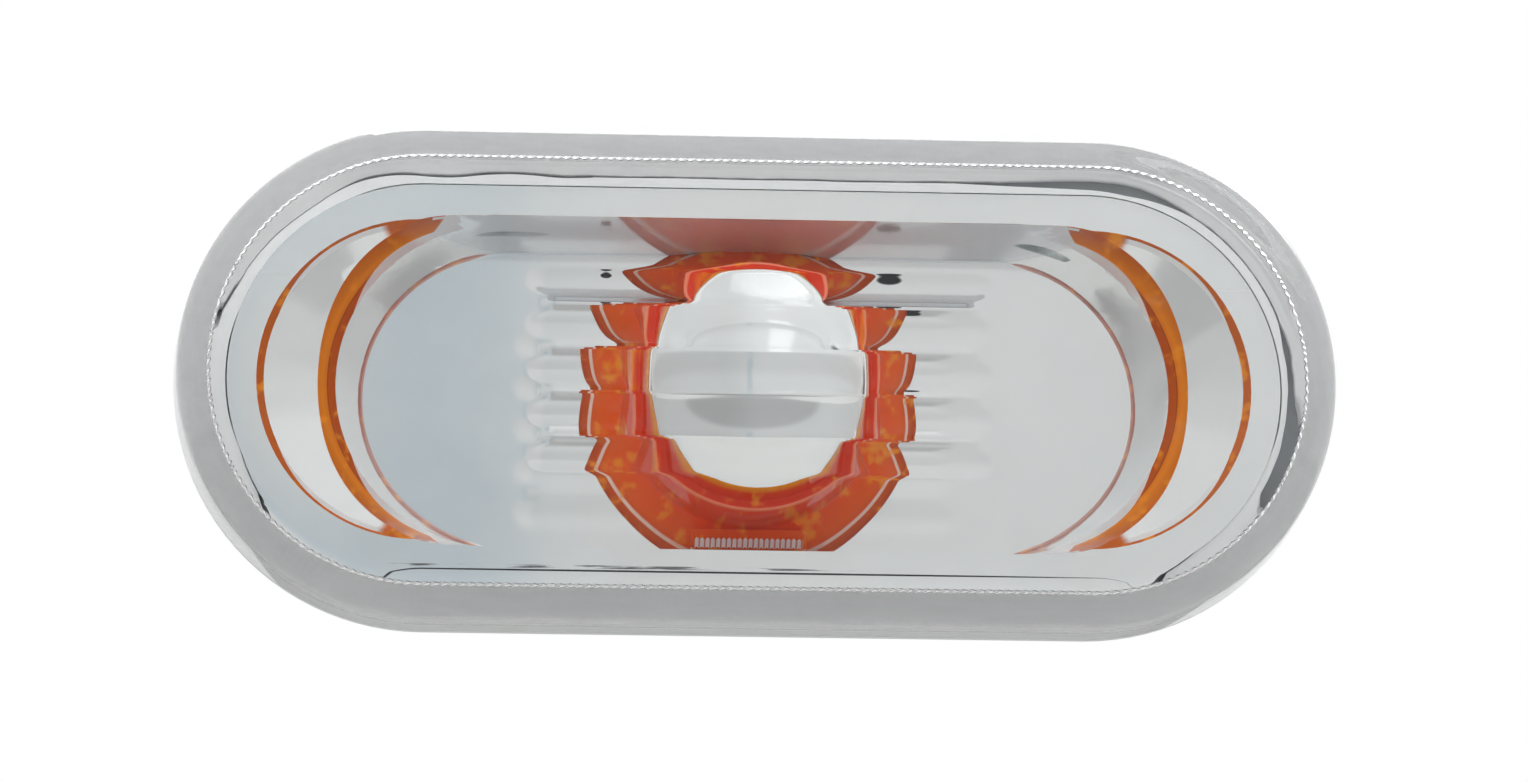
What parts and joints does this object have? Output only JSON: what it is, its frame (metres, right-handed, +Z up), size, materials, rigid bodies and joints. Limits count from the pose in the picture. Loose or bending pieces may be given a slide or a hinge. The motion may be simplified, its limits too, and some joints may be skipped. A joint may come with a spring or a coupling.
{
  "type": "side repeater lamp",
  "caption": "Oval clear-lens side repeater lamp with a fluted lens, a metallised amber reflector, a wedge bulb in a quarter-turn holder and clip-in fixing to a car wing.",
  "frame": {"origin": "the lamp's centre in the plane of the wing's outer face, where the panel gasket bears", "axes": "+X along the lamp towards its sprung latch, +Z up, -Y out of the wing through the lens"},
  "size_m": [0.098, 0.0499, 0.0422],
  "materials": {
    "clear_acrylic": "gloss",
    "metallised_amber": "gloss",
    "grey_abs": "satin",
    "foam_rubber": "matte",
    "seal_rubber": "matte",
    "black_nylon": "satin",
    "tinned_brass": "satin",
    "bulb_glass": "gloss",
    "lead_wire": "satin",
    "tungsten": "satin"
  },
  "bodies": {
    "root": {"lens": "clear_acrylic", "reflector": "metallised_amber", "housing": "grey_abs", "panel_gasket": "foam_rubber", "holder_seal": "seal_rubber", "bulb_holder": "black_nylon", "contact_left": "tinned_brass", "contact_right": "tinned_brass", "bulb_glass": "bulb_glass", "bulb_lead_left": "lead_wire", "bulb_lead_right": "lead_wire", "bulb_filament": "tungsten"}
  },
  "joints": []
}
